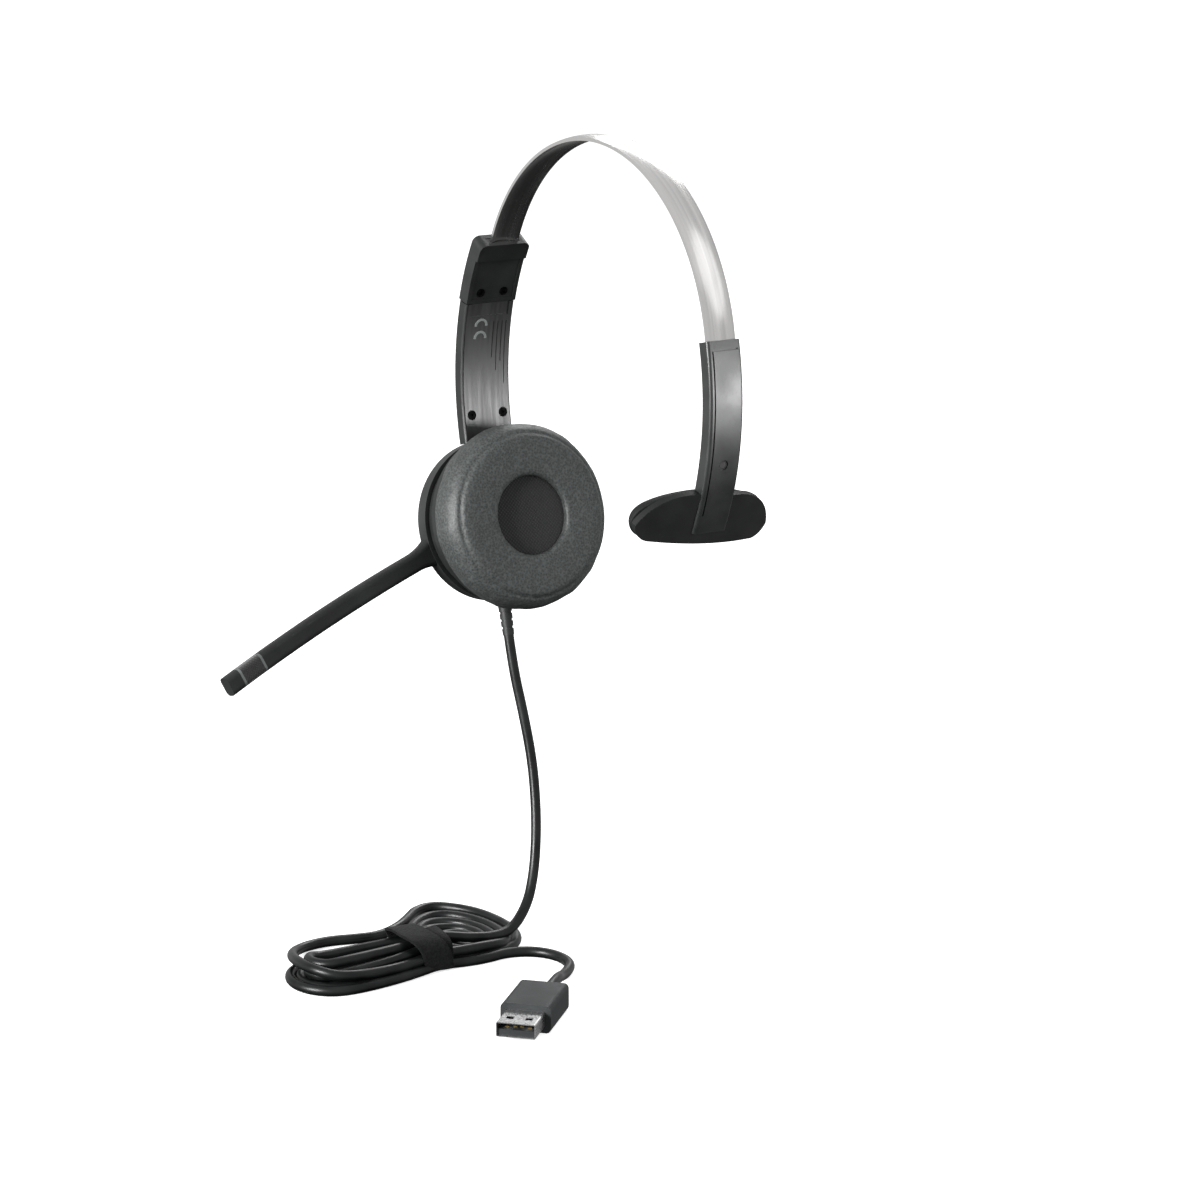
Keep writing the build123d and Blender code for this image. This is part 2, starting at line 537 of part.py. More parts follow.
def plug_point(back):
    """Point this far behind the plug's rear face, on its axis."""
    yaw = radians(PLUG_YAW)
    return (PLUG_REAR[0] - back * cos(yaw), PLUG_REAR[1] - back * sin(yaw), FLOOR + PLUG_H / 2)


def cord_tube(name, route):
    """Round cord along straight runs joined by tangent arcs as large as the runs allow."""
    points = [Vector(*p) for p in route]
    radii = []
    for before, here, after in zip(points, points[1:], points[2:]):
        half_turn = radians((here - before).get_angle(after - here)) / 2
        radii.append(0.45 * min((here - before).length, (after - here).length) / tan(half_turn))
    path = FilletPolyline(*points, radius=radii)
    section = Plane(origin=points[0], z_dir=points[1] - points[0]) * Circle(CORD_R)
    tube = sweep(section, path=path)
    print(name, "radii", [round(r, 1) for r in radii], "length %.1f" % path.length,
          "volume ratio %.4f" % (tube.volume / (pi * CORD_R ** 2 * path.length)))
    keep(name, tube)


def cord_hank():
    """Outer shape of the folded cord where it lies: an oval heap, nipped in where the tie holds it."""
    outline = Spline((10.0, -13.4), (23.5, -21.5), (27.6, -41.0), (28.0, -52.0), (29.8, -72.0),
                     (25.8, -93.0), (11.0, -98.0), (-4.0, -90.6), (-15.5, -74.0), (-11.5, -58.0),
                     (-16.0, -43.0), (-25.5, -30.0), (-24.0, -19.5), (-10.0, -12.0), periodic=True)
    heap = extrude(Pos(0, 0, FLOOR + HANK_GAP) * make_face(outline), amount=HANK_H - HANK_GAP)
    heap = fillet([e for e in heap.edges() if e.center().Z > FLOOR + HANK_H - 0.1], 2.0)
    keep("cord_hank", heap - tie_block(0) - PARTS["cord_drop"] - PARTS["cord_tail"])


def tie_block(wall):
    """Rounded block round the bundle where the tie lies, this much smaller on each side."""
    place = Pos(TIE_CENTRE[0], TIE_CENTRE[1], FLOOR + TIE_H / 2) * Rot(0, 0, -8)
    outline = RectangleRounded(TIE_W - 2 * wall, TIE_H - 2 * wall, 3.2 - wall)
    return place * extrude(Plane.XZ * outline, amount=TIE_L / 2, both=True)


def cord_tie():
    keep("cord_tie", tie_block(0) - tie_block(1.0))


def usb_plug():
    place = Pos(PLUG_REAR[0], PLUG_REAR[1], FLOOR + PLUG_H / 2) * Rot(0, 0, PLUG_YAW)
    body = Pos(PLUG_L / 2, 0, 0) * Box(PLUG_L, PLUG_W, PLUG_H)
    body = fillet(body.edges().filter_by(Axis.X), 1.6)
    body = fillet(body.faces().sort_by(Axis.X)[0].edges(), 1.5)
    neck = Pos(-NECK_L / 2, 0, 0) * Rot(0, -90, 0) * Cone(3.0, 1.8, NECK_L)
    front = PLUG_L
    shell_box = Pos(front + SHELL_L / 2 - 3, 0, 0) * Box(SHELL_L + 6, SHELL_W, SHELL_H)
    inner_w, inner_h = SHELL_W - 2 * SHELL_WALL, SHELL_H - 2 * SHELL_WALL
    inner_box = Pos(front + SHELL_L / 2, 0, 0) * Box(SHELL_L + 14, inner_w, inner_h)
    core = Pos(front / 2, 0, 0) * Box(front - 9, 11.0, 5.0)
    keep("plug_overmold", place * (body + neck - shell_box - core - (inner_box & body)))
    shell = fillet(shell_box.edges().filter_by(Axis.X), 0.5) - inner_box
    windows = [Pos(front + 6.4, y, 0) * Box(2.2, 2.2, 10) for y in (-2.9, 2.9)]
    keep("plug_shell", place * (shell - windows))
    tongue = Pos(front + 4.15, 0, -0.97) * Box(12.5, inner_w, 1.96)
    rear = Pos(front - 3.4, 0, 0) * Box(2.6, inner_w, inner_h)
    keep("plug_tongue", place * (tongue + rear))
    strips = [Pos(front + 3.4, y, 0.1) * Box(length, 1.2, 0.18)
              for y, length in ((-3.5, 9.6), (-1.0, 8.4), (1.0, 8.4), (3.5, 9.6))]
    keep("plug_contacts", place * group(strips))
    keep("plug_board", place * (Pos(front / 2, 0, 0) * Box(front - 9.4, 10.0, 1.2)))


if __name__ == "__main__":
    os.makedirs("parts", exist_ok=True)
    for build in (ear_cushion, ear_scrim, cushion_ring, cup_housing, tilt_pin, speaker_baffle, baffle_screws,
                  speaker_driver, cord_relief, outer_cap, audio_board, boom, lower_arm,
                  tilt_bracket, slider_housing, band_strip, pad_arm, temple_plate_and_pad):
        build()
    cord_tube("cord_drop", drop_route())
    cord_tube("cord_tail", tail_route())
    cord_hank()
    cord_tie()
    usb_plug()
    for name, shape in PARTS.items():
        export_step(shape, "parts/%s.step" % name)
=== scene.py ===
"""Office headset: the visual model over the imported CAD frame, in metres, +Z up."""
from math import atan2, cos, exp, hypot, pi, radians, sin, sqrt

import bmesh
import bpy
from mathutils import Matrix, Vector, noise

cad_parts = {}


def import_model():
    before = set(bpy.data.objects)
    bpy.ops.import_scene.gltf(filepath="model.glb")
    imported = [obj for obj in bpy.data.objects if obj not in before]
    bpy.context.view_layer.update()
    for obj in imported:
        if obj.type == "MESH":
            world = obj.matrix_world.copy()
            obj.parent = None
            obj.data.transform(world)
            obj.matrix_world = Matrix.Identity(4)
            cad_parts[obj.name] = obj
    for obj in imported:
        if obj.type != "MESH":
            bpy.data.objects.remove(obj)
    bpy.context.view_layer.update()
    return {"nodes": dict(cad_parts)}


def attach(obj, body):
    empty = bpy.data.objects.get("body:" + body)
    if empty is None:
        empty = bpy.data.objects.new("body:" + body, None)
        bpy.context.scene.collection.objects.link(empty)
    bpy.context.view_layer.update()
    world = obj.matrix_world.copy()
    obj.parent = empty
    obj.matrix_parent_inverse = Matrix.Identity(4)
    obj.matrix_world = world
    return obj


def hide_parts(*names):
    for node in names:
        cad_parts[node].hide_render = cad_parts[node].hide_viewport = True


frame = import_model()
nodes = frame["nodes"]

MM = 0.001
CUP_TILT = radians(14)
FLOOR = -134.0             # millimetres, where the hank and the plug lie
CORD_R = 1.65
LIE = FLOOR + CORD_R       # the centre of a cord that lies on the floor


def clamp(value, low=0.0, high=1.0):
    return max(low, min(high, value))


# ---------------------------------------------------------------- materials
class Nodes:
    """A principled material and short ways to add textures to it."""

    def __init__(self, name, roughness, metallic=0.0, specular=0.5, sheen=0.0, coat=0.0):
        self.mat = bpy.data.materials.new(name)
        self.mat.use_nodes = True
        self.tree = self.mat.node_tree
        self.out = self.tree.nodes["Principled BSDF"]
        self.set(self.out, Roughness=roughness, Metallic=metallic)
        self.out.inputs["Specular IOR Level"].default_value = specular
        self.out.inputs["Sheen Weight"].default_value = sheen
        self.out.inputs["Sheen Roughness"].default_value = 0.6
        self.out.inputs["Coat Weight"].default_value = coat
        self.coords = self.tree.nodes.new("ShaderNodeTexCoord").outputs["Object"]

    def set(self, node, **values):
        for key, value in values.items():
            node.inputs[key.replace("_", " ")].default_value = value

    def link(self, a, b):
        self.tree.links.new(a, b)

    def mapped(self, scale=(1, 1, 1), turn=(0, 0, 0)):
        node = self.tree.nodes.new("ShaderNodeMapping")
        self.link(self.coords, node.inputs["Vector"])
        node.inputs["Scale"].default_value = scale
        node.inputs["Rotation"].default_value = turn
        return node.outputs["Vector"]

    def noise(self, scale, detail=4.0, vector=None):
        node = self.tree.nodes.new("ShaderNodeTexNoise")
        self.set(node, Scale=scale, Detail=detail)
        self.link(vector or self.coords, node.inputs["Vector"])
        return node.outputs["Fac"]

    def wave(self, pitch, axis, vector, distortion=0.4):
        """Rounded threads this far apart, in metres."""
        node = self.tree.nodes.new("ShaderNodeTexWave")
        node.bands_direction = axis
        self.set(node, Scale=2 * pi / (20 * pitch), Distortion=distortion, Detail=1.0)
        self.link(vector, node.inputs["Vector"])
        return node.outputs["Fac"]

    def cells(self, scale, vector=None):
        node = self.tree.nodes.new("ShaderNodeTexVoronoi")
        self.set(node, Scale=scale)
        self.link(vector or self.coords, node.inputs["Vector"])
        return node.outputs["Distance"]

    def math(self, kind, a, b):
        node = self.tree.nodes.new("ShaderNodeMath")
        node.operation = kind
        for socket, value in zip(node.inputs, (a, b)):
            if isinstance(value, (int, float)):
                socket.default_value = value
            else:
                self.link(value, socket)
        return node.outputs[0]

    def blend(self, a, share_a, b, share_b):
        """Weighted sum of two textures."""
        first = self.math("MULTIPLY", a, share_a)
        second = self.math("MULTIPLY", b, share_b)
        return self.math("ADD", first, second)

    def colour(self, factor, dark, light, low=0.35, high=0.65):
        node = self.tree.nodes.new("ShaderNodeValToRGB")
        ramp = node.color_ramp
        ramp.elements[0].position, ramp.elements[1].position = low, high
        ramp.elements[0].color, ramp.elements[1].color = (*dark, 1), (*light, 1)
        self.link(factor, node.inputs["Fac"])
        self.link(node.outputs["Color"], self.out.inputs["Base Color"])

    def roughness(self, factor, low, high):
        node = self.tree.nodes.new("ShaderNodeMapRange")
        self.set(node, From_Min=0.3, From_Max=0.7, To_Min=low, To_Max=high)
        self.link(factor, node.inputs["Value"])
        self.link(node.outputs["Result"], self.out.inputs["Roughness"])

    def bump(self, *layers):
        """Each layer is (height, strength, distance in metres)."""
        before = None
        for height, strength, distance in layers:
            node = self.tree.nodes.new("ShaderNodeBump")
            self.set(node, Strength=strength, Distance=distance)
            self.link(height, node.inputs["Height"])
            if before:
                self.link(before, node.inputs["Normal"])
            before = node.outputs["Normal"]
        self.link(before, self.out.inputs["Normal"])


def grey(value, warm=0.0):
    return (value * (1 + warm), value, value * (1 - warm))


def black(value):
    """Dark plastic and cloth with the faint green cast they have."""
    return (value * 0.945, value * 1.04, value * 1.015)


def moulded(name, dark, light, rough, grain=2600, depth=0.00003, **shader):
    """Moulded plastic or rubber: fine spark texture, cloudy wear in colour and gloss."""
    m = Nodes(name, rough, **shader)
    wear = m.noise(90, 5)
    fine = m.noise(grain, 3)
    m.colour(m.blend(wear, 0.6, fine, 0.4), dark, light)
    m.roughness(wear, rough - 0.06, rough + 0.08)
    m.bump((fine, 0.35, depth), (m.noise(420, 4), 0.12, depth * 2))
    return m.mat


def drawn(name, dark, light, rough):
    """Satin plastic of the arm's inner cover, with rubbed streaks along its length."""
    m = Nodes(name, rough, specular=0.8)
    streaks = m.noise(1.0, 6, m.mapped((60, 900, 60)))
    cloud = m.noise(120, 4)
    m.colour(m.blend(streaks, 0.7, cloud, 0.3), dark, light)
    m.roughness(streaks, rough - 0.06, rough + 0.06)
    m.bump((streaks, 0.08, 0.00004), (m.noise(2600, 3), 0.25, 0.00002))
    return m.mat


def metal(name, dark, light, rough, streak, grain=1.0, **shader):
    """Rolled or drawn metal with streaks; streak is the noise's scale along X, Y and Z."""
    m = Nodes(name, rough, metallic=1.0, **shader)
    lines = m.noise(grain, 5, m.mapped(streak))
    m.colour(lines, dark, light)
    m.roughness(m.noise(grain * 0.7, 4, m.mapped(streak)), rough - 0.05, rough + 0.09)
    m.bump((lines, 0.12, 0.00002), (m.noise(3200, 2), 0.06, 0.00001))
    return m.mat


def leatherette():
    """Soft cover of the ear cushion: fine pores over slight folds."""
    m = Nodes("cushion_leatherette", 0.5, specular=0.5)
    pores = m.cells(1500)
    fine = m.noise(2600, 5)
    m.colour(m.blend(pores, 0.55, fine, 0.55), black(0.021), black(0.074), 0.3, 0.75)
    m.roughness(fine, 0.42, 0.62)
    folds = m.noise(150, 3, m.mapped((0.35, 1, 1)))
    m.bump((folds, 0.25, 0.0006), (pores, 0.5, 0.00008), (fine, 0.5, 0.00006))
    return m.mat


def weave(name, pitch, turn, dark, light, rough, depth=0.00012):
    """Woven cloth whose threads lie this far apart, in metres."""
    m = Nodes(name, rough, specular=0.3, sheen=0.3)
    flat = m.mapped(turn=turn)
    warp, weft = m.wave(pitch, "Y", flat), m.wave(pitch, "Z", flat)
    over = m.math("MULTIPLY", warp, weft)
    m.colour(over, dark, light, 0.15, 0.85)
    m.roughness(m.noise(700, 3), rough - 0.08, rough + 0.08)
    m.bump((over, 0.8, depth), (m.noise(5200, 2), 0.3, 0.00003))
    return m.mat


def hook_and_loop():
    """Felted face of the cord's tie."""
    m = Nodes("tie_hook_and_loop", 0.88, specular=0.1, sheen=0.04)
    loops = m.noise(1900, 6)
    m.colour(loops, black(0.002), black(0.008))
    m.roughness(m.noise(300, 3), 0.8, 0.95)
    m.bump((loops, 0.9, 0.00022), (m.cells(1300), 0.5, 0.00012))
    return m.mat


def jacket():
    """Smooth vinyl of the cord."""
    m = Nodes("cord_jacket", 0.34, specular=0.38)
    cloud = m.noise(130, 4)
    fine = m.noise(1800, 3)
    m.colour(cloud, (0.002, 0.0025, 0.0025), (0.008, 0.009, 0.009))
    m.roughness(cloud, 0.28, 0.42)
    m.bump((cloud, 0.12, 0.0003), (fine, 0.25, 0.00002))
    return m.mat


def speckled(name, dark, light, rough, scale, **shader):
    """Small internal pieces: board lacquer, film and windings."""
    m = Nodes(name, rough, **shader)
    m.colour(m.noise(scale, 4), dark, light)
    m.roughness(m.noise(scale * 0.4, 3), rough - 0.06, rough + 0.08)
    m.bump((m.cells(scale), 0.3, 0.00005))
    return m.mat


MATERIALS = {
    "matte_black": moulded("matte_black", black(0.009), black(0.020), 0.46, specular=0.5),
    "satin_black": moulded("satin_black", black(0.012), black(0.024), 0.36,
                           grain=3400, depth=0.00002, specular=0.7),
    "arm_streaked": drawn("arm_streaked", black(0.004), black(0.010), 0.42),
    # The slide arrows' light grey is a painted highlight on their raised arches.
    "arrow_painted_highlight": moulded("arrow_painted_highlight", black(0.16), black(0.26), 0.32,
                            grain=3400, depth=0.00002),
    "plate_black": moulded("plate_black", black(0.006), black(0.012), 0.6, specular=0.3),
    "boom_black": moulded("boom_black", black(0.008), black(0.018), 0.55, specular=0.4),
    "cushion_cloth": leatherette(),
    "scrim_cloth": weave("scrim_cloth", 0.00085, (radians(45), 0, 0),
                         black(0.0005), black(0.015), 0.8),
    "mesh_cloth": weave("mesh_cloth", 0.0007, (radians(22), 0, 0),
                        black(0.001), black(0.012), 0.8),
    "band_steel": metal("band_steel", grey(0.72, 0.01), grey(0.92, 0.01), 0.2, (9, 620, 9)),
    "bracket_steel": metal("bracket_steel", grey(0.3), grey(0.5), 0.34, (60, 700, 60)),
    "black_screw": metal("black_screw", grey(0.008), grey(0.03), 0.4, (900, 900, 900)),
    "pad_rubber": moulded("pad_rubber", black(0.006), black(0.014), 0.7,
                          grain=1500, depth=0.00006, specular=0.25),
    "plug_plastic": moulded("plug_plastic", (0.011, 0.013, 0.014), (0.020, 0.023, 0.024), 0.55,
                            grain=2200, depth=0.00004),
    "plug_steel": metal("plug_steel", grey(0.48), grey(0.62), 0.28, (900, 900, 2500)),
    "contact_gold": metal("contact_gold", (0.7, 0.45, 0.14), (0.95, 0.68, 0.28), 0.25,
                          (500, 500, 500)),
    "board_green": speckled("board_green", (0.006, 0.05, 0.015), (0.012, 0.12, 0.035), 0.4, 700),
    "magnet_metal": metal("magnet_metal", grey(0.28), grey(0.45), 0.38, (400, 400, 400)),
    "coil_copper": metal("coil_copper", (0.5, 0.2, 0.08), (0.85, 0.42, 0.2), 0.3,
                         (3000, 60, 60)),
    "diaphragm_film": speckled("diaphragm_film", grey(0.10), grey(0.20), 0.3, 500,
                               specular=0.5),
    "band_trim": moulded("band_trim", black(0.08), black(0.14), 0.4),
    "cord_jacket": jacket(),
    "tie_strap": hook_and_loop(),
}

FINISHES = {
    "matte_black": ("cup_housing cushion_ring arm_shell slider_housing "
                    "cord_relief speaker_baffle speaker_frame"),
    "satin_black": "outer_cap pad_arm_shell pad_arm_cover boom_ring mic_capsule",
    "arm_streaked": "arm_cover",
    "arrow_painted_highlight": "slide_arrows",
    "plate_black": "temple_plate",
    "boom_black": "boom_arm mic_cap",
    "cushion_cloth": "ear_cushion",
    "scrim_cloth": "ear_scrim",
    "mesh_cloth": "mic_mesh",
    "band_trim": "mic_bands",
    "band_steel": "band_strip",
    "bracket_steel": "tilt_bracket tilt_pin detent_spring band_rivet",
    "black_screw": "slide_tongue baffle_screws arm_screws housing_screws",
    "pad_rubber": "temple_pad",
    "plug_plastic": "plug_overmold plug_tongue",
    "plug_steel": "plug_shell",
    "contact_gold": "plug_contacts",
    "board_green": "audio_board plug_board",
    "magnet_metal": "speaker_magnet",
    "coil_copper": "voice_coil",
    "diaphragm_film": "speaker_diaphragm",
}


def finish_nodes():
    for finish, names in FINISHES.items():
        for name in names.split():
            for slot in nodes[name].material_slots:
                slot.material = MATERIALS[finish]


# ---------------------------------------------------------------- mesh helpers
def to_world(depth, y, z):
    """A point of the ear cup's own frame, in metres."""
    c, s = cos(CUP_TILT), sin(CUP_TILT)
    return Vector((-depth * c - z * s, y, -depth * s + z * c)) * MM


def new_object(name, points, faces, material, body, levels=0):
    mesh = bpy.data.meshes.new(name)
    mesh.from_pydata([tuple(p) for p in points], [], faces)
    mesh.validate()
    bm = bmesh.new()
    bm.from_mesh(mesh)
    bmesh.ops.recalc_face_normals(bm, faces=bm.faces)
    bm.to_mesh(mesh)
    bm.free()
    mesh.shade_smooth()
    obj = bpy.data.objects.new(name, mesh)
    bpy.context.scene.collection.objects.link(obj)
    mesh.materials.append(material)
    if levels:
        rounder = obj.modifiers.new("rounded", "SUBSURF")
        rounder.levels = rounder.render_levels = levels
    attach(obj, body)
    return obj


def rings_to_faces(rings, count, closed_rings=False, closed_count=True):
    """Quads between equal rings of points, in order."""
    faces = []
    last = rings if closed_rings else rings - 1
    steps = count if closed_count else count - 1
    for i in range(last):
        for j in range(steps):
            this, below = i * count, ((i + 1) % rings) * count
            right = (j + 1) % count
            faces.append((this + j, this + right, below + right, below + j))
    return faces


# ---------------------------------------------------------------- ear cushion
# The section as (depth behind the face, radius), round from the hole's front to its back.
CUSHION_PROFILE = (
    (2.9, 12.5), (1.2, 12.6), (0.5, 13.2), (0.3, 15.0), (0.2, 19.0), (0.2, 23.0), (0.5, 25.0),
    (1.5, 26.4), (2.6, 27.6), (4.4, 28.8), (6.6, 29.4), (9.0, 29.6), (11.4, 29.4), (13.0, 28.6),
    (13.9, 26.8), (13.9, 22.0), (13.9, 17.0), (13.9, 13.6), (9.0, 13.4), (5.0, 13.4), (4.2, 13.4))
CUSHION_VOXEL = 0.9
SWELL_PRESSURE, SWELL_CAP, SWELL_FRAMES = 4.0, 0.55, 20
SEAM_R, SEAM_WIDTH, SEAM_SINK = 26.0, 0.42, 0.7
FACE_DEPTH = 5             # the seam is only this far behind the face
SIDE_R, SIDE_DEPTH = 26.8, 1   # where the folds of the side begin
FOLD_HEIGHT, CRUMPLE_HEIGHT = 0.42, 0.16
CUSHION_R_MAX = 30.1
CUSHION_DEPTHS = (0.05, 14.3)
HOLE_R_FRONT, HOLE_R_BACK, HOLE_STEP_DEPTH = 12.1, 13.1, 3.7   # room for the cloth screen


def swell(obj, pressure, cap):
    """Inflate the stuffed mesh with cloth simulation, each point by no more than the cap."""
    before = [v.co.copy() for v in obj.data.vertices]
    cloth = obj.modifiers.new("stuffing", "CLOTH")
    settings = cloth.settings
    settings.quality = 6
    settings.mass = 0.05
    settings.use_pressure = True
    settings.uniform_pressure_force = pressure
    settings.effector_weights.gravity = 0
    settings.tension_stiffness = settings.compression_stiffness = 25
    settings.bending_stiffness = 2
    cloth.point_cache.frame_start, cloth.point_cache.frame_end = 1, SWELL_FRAMES
    for step in range(1, SWELL_FRAMES + 1):
        bpy.context.scene.frame_set(step)
    shown = obj.evaluated_get(bpy.context.evaluated_depsgraph_get())
    after = [v.co.copy() for v in shown.data.vertices]
    obj.modifiers.remove(cloth)
    for vertex, a, b in zip(obj.data.vertices, before, after):
        move = b - a
        vertex.co = a + move * min(1.0, cap / max(move.length, 1e-9))
    bpy.context.scene.frame_set(1)


def remesh(obj, size):
    voxels = obj.modifiers.new("voxels", "REMESH")
    voxels.mode = "VOXEL"
    voxels.voxel_size = size
    shown = obj.evaluated_get(bpy.context.evaluated_depsgraph_get())
    mesh = bpy.data.meshes.new_from_object(shown)
    obj.modifiers.remove(voxels)
    obj.data = mesh
    mesh.shade_smooth()


def cup_polar(point):
    """Depth behind the cushion's face, radius and angle of a world point, in millimetres."""
    c, s = cos(CUP_TILT), sin(CUP_TILT)
    x, y, z = point / MM
    depth, up = -x * c - z * s, -x * s + z * c
    return depth, hypot(y, up), atan2(up, y)


def from_cup_polar(depth, radius, angle):
    return to_world(depth, radius * cos(angle), radius * sin(angle))


def tailor(depth, radius, angle):
    """Seam round the face, soft folds on the side, and the room that the cushion has."""
    across = (radius - SEAM_R) / SEAM_WIDTH
    if depth < FACE_DEPTH:
        depth += SEAM_SINK * exp(-across * across)
    fold = noise.noise(Vector((cos(angle) * 4, sin(angle) * 4, depth * 0.10)))
    crumple = noise.noise(Vector((cos(angle) * 13, sin(angle) * 13, depth * 0.25)))
    side = clamp((radius - SIDE_R) / 2) * clamp((depth - SIDE_DEPTH) / 3)
    radius += (FOLD_HEIGHT * fold + CRUMPLE_HEIGHT * crumple) * side
    radius = min(radius, CUSHION_R_MAX)
    radius = max(radius, HOLE_R_FRONT if depth < HOLE_STEP_DEPTH else HOLE_R_BACK)
    return clamp(depth, *CUSHION_DEPTHS), radius


def ear_cushion():
    count = 96
    points = [from_cup_polar(depth, radius, 2 * pi * j / count)
              for depth, radius in CUSHION_PROFILE for j in range(count)]
    faces = rings_to_faces(len(CUSHION_PROFILE), count, closed_rings=True)
    pad = new_object("ear_cushion_soft", points, faces, MATERIALS["cushion_cloth"], "ear_cup")
    remesh(pad, CUSHION_VOXEL * MM)
    swell(pad, SWELL_PRESSURE, SWELL_CAP * MM)
    for vertex in pad.data.vertices:
        depth, radius, angle = cup_polar(vertex.co)
        depth, radius = tailor(depth, radius, angle)
        vertex.co = from_cup_polar(depth, radius, angle)
    pad.data.materials.clear()
    pad.data.materials.append(MATERIALS["cushion_cloth"])
    rounder = pad.modifiers.new("rounded", "SUBSURF")
    rounder.levels = rounder.render_levels = 1
    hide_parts("ear_cushion")


# ---------------------------------------------------------------- temple pad
PAD_ARM_CENTRE, PLATE_RADIUS, PLATE_ANGLE = (13.7, 50.0), 89.6, radians(-22.4)
PLATE_ROLL, PLATE_BEND_R = radians(6.5), 90.0
PAD_OUTLINE = (
    (-24.6, -3.7), (-24.0, -6.2), (-21.9, -8.2), (-18.6, -8.8), (-9.0, -8.8), (0.0, -8.8),
    (9.0, -8.8), (18.6, -8.8), (21.9, -8.2), (24.0, -6.2), (24.6, -3.7), (24.2, -1.0),
    (22.6, 1.6), (19.5, 4.1), (15.6, 6.2), (11.2, 7.7), (6.5, 8.8), (0.0, 8.9), (-6.5, 8.8),
    (-11.2, 7.7), (-15.6, 6.2), (-19.5, 4.1), (-22.6, 1.6), (-24.2, -1.0))
# The pad from its seat on the plate to its soft face, as (depth, share of the outline's size).
PAD_LEVELS = (
    (2.05, 0.30), (2.05, 0.80), (2.05, 0.955), (2.4, 0.975), (3.1, 0.965), (4.2, 0.92),
    (5.1, 0.86), (5.6, 0.79), (5.55, 0.74), (5.85, 0.66), (6.1, 0.45), (6.15, 0.2))
PAD_HALF, PAD_SPINE, PAD_MIDDLE = 24.6, 16.0, -1.5   # the outline shrinks towards this spine


def on_plate(depth, y, z):
    """A point of the cross plate's frame; depth is measured inwards from its bent outer face."""
    x = -PLATE_BEND_R + sqrt((PLATE_BEND_R - depth) ** 2 - y * y) + PLATE_RADIUS
    across = y * cos(PLATE_ROLL) + z * sin(PLATE_ROLL)
    up = -y * sin(PLATE_ROLL) + z * cos(PLATE_ROLL)
    centre_x, centre_z = PAD_ARM_CENTRE
    c, s = cos(PLATE_ANGLE), sin(PLATE_ANGLE)
    return Vector((centre_x + x * c - up * s, across, centre_z + x * s + up * c)) * MM


def temple_pad():
    """Soft rubber pad: full in the middle, rolled over at its rim, a shallow groove between."""
    points = []
    for depth, shrink in PAD_LEVELS:
        for y, z in PAD_OUTLINE:
            spine = PAD_SPINE * y / PAD_HALF
            points.append(on_plate(depth, spine + (y - spine) * shrink,
                                   PAD_MIDDLE + (z - PAD_MIDDLE) * shrink))
    count = len(PAD_OUTLINE)
    faces = rings_to_faces(len(PAD_LEVELS), count)
    faces.append(tuple(range(count))[::-1])
    faces.append(tuple(range((len(PAD_LEVELS) - 1) * count, len(PAD_LEVELS) * count)))
    pad = new_object("temple_pad_soft", points, faces, MATERIALS["pad_rubber"], "headband",
                     levels=2)
    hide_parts("temple_pad")


# ---------------------------------------------------------------- cord
PLUG_YAW, PLUG_TIP, PLUG_LIFT = radians(-47.5), (70.0, -41.1), 4.25


def in_world(x, y, z):
    """A point given in the ear cup's tilted frame, in millimetres."""
    c, s = cos(CUP_TILT), sin(CUP_TILT)
    return (x * c - z * s, y, x * s + z * c)


def plug_point(back):
    """A point on the plug's axis this far behind the front of its overmould."""
    x, y = PLUG_TIP
    return (x - back * cos(PLUG_YAW), y - back * sin(PLUG_YAW), FLOOR + PLUG_LIFT)


# The cord from the grommet down to the tie, and from the tie to the plug.
DROP = [in_world(-20.4, -3.2, -37.0), in_world(-20.4, -3.2, -48.0), in_world(-20.3, -1.8, -62.0),
        in_world(-19.9, -1.0, -78.5), in_world(-19.4, -2.4, -94.0), in_world(-18.7, -4.9, -106.0),
        in_world(-18.4, -7.6, -115.0), (12.6, -11.4, LIE + 9.2), (17.0, -19.5, LIE + 3.8),
        (18.8, -27.5, LIE + 3.2), (17.6, -36.0, LIE + 4.2), (15.8, -43.5, LIE + 5.6)]
TAIL = [(26.2, -42.5, LIE), (27.0, -35.0, LIE), (25.8, -27.5, LIE), (29.4, -19.6, LIE),
        (37.0, -15.4, LIE), (46.0, -16.2, LIE), (52.2, -22.2, LIE), (56.0, -26.8, LIE + 0.9),
        plug_point(14), plug_point(5)]

